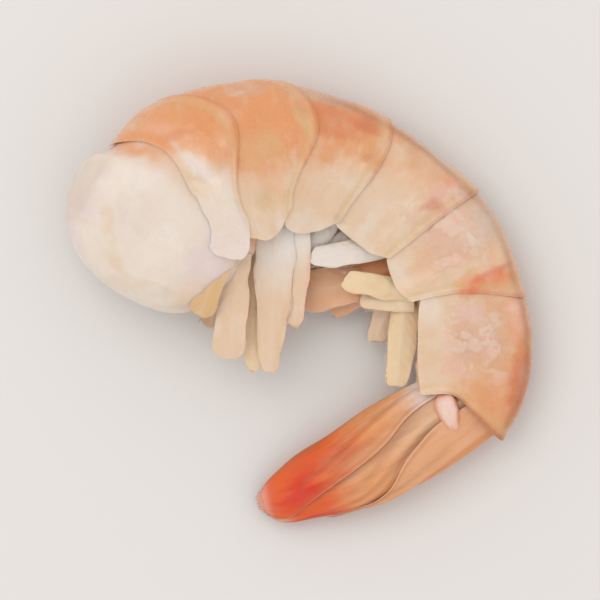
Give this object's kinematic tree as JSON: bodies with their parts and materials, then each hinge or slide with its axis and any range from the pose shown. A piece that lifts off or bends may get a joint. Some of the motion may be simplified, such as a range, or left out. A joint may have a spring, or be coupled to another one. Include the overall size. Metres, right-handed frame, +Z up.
{
  "type": "cooked shell-on shrimp",
  "caption": "Cooked headless shrimp in its shell, curled up on its side, with overlapping back rings, two-branched legs and a folded tail fan.",
  "frame": {"origin": "middle of the box round the part, at the surface it lies on", "axes": "+Z up, across the body from the lower to the upper flank; the tail fan lies towards -Y and the backs of the rings towards +X and +Y, so the curl lies in the XY plane"},
  "size_m": [0.0558, 0.0542, 0.0152],
  "materials": {
    "flesh": "moist, semi-gloss",
    "shell": "thin, clear, moist",
    "leg": "thin, soft, moist",
    "tail": "thin, clear, moist"
  },
  "bodies": {
    "root": {"flesh": "flesh", "shell_1": "shell", "shell_2": "shell", "shell_3": "shell", "shell_4": "shell", "shell_5": "shell", "shell_6": "shell", "leg_1_upper": "leg", "leg_2_upper": "leg", "leg_3_upper": "leg", "leg_4_upper": "leg", "leg_5_upper": "leg", "leg_1_lower": "leg", "leg_2_lower": "leg", "leg_3_lower": "leg", "leg_4_lower": "leg", "leg_5_lower": "leg", "tail_spine": "tail", "tail_inner_blade_upper": "tail", "tail_inner_blade_lower": "tail", "tail_outer_blade_upper": "tail", "tail_outer_blade_lower": "tail", "tail_knuckle_upper": "tail", "tail_knuckle_lower": "tail"}
  },
  "joints": []
}
